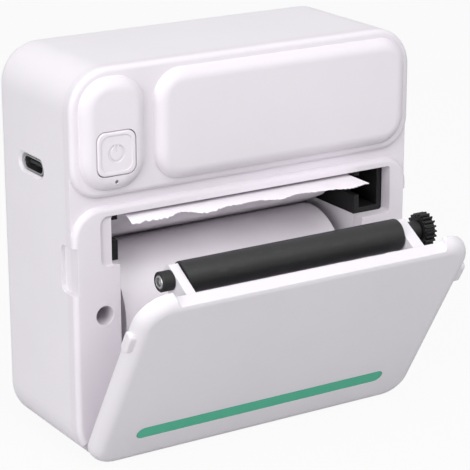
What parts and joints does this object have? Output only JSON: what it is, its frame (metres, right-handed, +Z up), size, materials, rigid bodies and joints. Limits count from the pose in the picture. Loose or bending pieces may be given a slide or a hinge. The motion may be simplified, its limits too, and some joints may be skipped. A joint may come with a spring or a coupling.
{
  "type": "portable thermal printer",
  "caption": "Pocket thermal printer, square body with hinged paper door open, platen roller on the door, paper roll in its bay, power button and side charging port.",
  "frame": {"origin": "middle of the base, below the middle of the housing's depth", "axes": "+Z up, +Y towards the back, the paper door opens towards -Y, +X to the printer's right seen from the front"},
  "size_m": [0.086, 0.0617, 0.087],
  "materials": {
    "shell_plastic": "fine matt grain",
    "panel_plastic": "fine matt grain",
    "black_plastic": "satin black",
    "button_plastic": "smooth satin",
    "green_inlay": "satin green",
    "clear_plastic": "frosted clear",
    "gear_plastic": "black acetal",
    "platen_rubber": "fine ground black",
    "steel": "ground",
    "screw_steel": "zinc plated",
    "spring_steel": "bright rolled",
    "plated_brass": "nickel plated",
    "sink_aluminium": "mill finish",
    "ceramic": "glazed",
    "board": "solder resist",
    "component_black": "moulded epoxy",
    "film": "polyimide film",
    "battery_wrap": "laminated foil",
    "thermal_paper": "smooth coated",
    "core_card": "wound board",
    "ferrite": "pressed and sintered"
  },
  "bodies": {
    "housing": {"rear_shell": "shell_plastic", "front_panel": "panel_plastic", "roll_bay": "shell_plastic", "mechanism_frame": "black_plastic", "idler_pin": "steel", "stepper_motor": "plated_brass", "tear_bar": "black_plastic", "leaf_spring": "spring_steel", "head_ribbon": "film", "paper_sensor": "component_black", "paper_web": "thermal_paper", "main_board": "board", "board_chips": "component_black", "usb_shell": "steel", "usb_tongue": "component_black", "battery_pack": "battery_wrap", "button_board": "board", "tactile_switch": "component_black", "status_led": "clear_plastic", "light_pipe": "clear_plastic", "hinge_pins": "steel", "case_screws": "screw_steel", "panel_screws": "screw_steel"},
    "door": {"door_cover": "shell_plastic", "door_frame": "shell_plastic", "door_stripe": "green_inlay", "platen_bushing_left": "black_plastic", "platen_bushing_right": "black_plastic"},
    "platen": {"platen_shaft": "steel", "platen_rubber": "platen_rubber", "platen_gear": "gear_plastic"},
    "roll": {"paper_roll": "thermal_paper", "roll_core": "core_card"},
    "idler": {"idler_gear": "gear_plastic"},
    "motor_rotor": {"motor_pinion": "gear_plastic", "rotor_magnet": "ferrite"},
    "head": {"print_head": "ceramic", "head_heat_sink": "sink_aluminium"},
    "button": {"power_button": "button_plastic", "switch_plunger": "button_plastic"}
  },
  "joints": [
    {"name": "door_hinge", "type": "hinge", "parent": "housing", "child": "door", "pos_m": [0, -0.015, 0.0033], "axis": [1, 0, 0], "range_deg": [-30.7, 44.3]},
    {"name": "platen_spin", "type": "hinge", "parent": "door", "child": "platen", "pos_m": [0, -0.03636, 0.04574], "axis": [1, 0, 0], "continuous": true},
    {"name": "roll_spin", "type": "hinge", "parent": "housing", "child": "roll", "pos_m": [0, -0.0018, 0.0294], "axis": [1, 0, 0], "continuous": true},
    {"name": "idler_spin", "type": "hinge", "parent": "housing", "child": "idler", "pos_m": [0.0335, -0.00229, 0.0507], "axis": [1, 0, 0], "continuous": true},
    {"name": "motor_spin", "type": "hinge", "parent": "housing", "child": "motor_rotor", "pos_m": [0.0335, 0.00574, 0.0507], "axis": [1, 0, 0], "continuous": true},
    {"name": "head_pivot", "type": "hinge", "parent": "housing", "child": "head", "pos_m": [0, -0.00585, 0.0577], "axis": [1, 0, 0], "range_deg": [0, 2.5], "stiffness_Nm_per_rad": 0.5, "springref_deg": -2.86, "deforming": ["leaf_spring", "head_ribbon"]},
    {"name": "power_press", "type": "slide", "parent": "housing", "child": "button", "axis": [0, 1, 0], "range_m": [0, 0.0005], "stiffness_N_per_m": 2000, "springref_m": -0.0002}
  ],
  "couplings": [
    {"joint": "idler_spin", "follows": "motor_spin", "ratio": -0.35294}
  ]
}
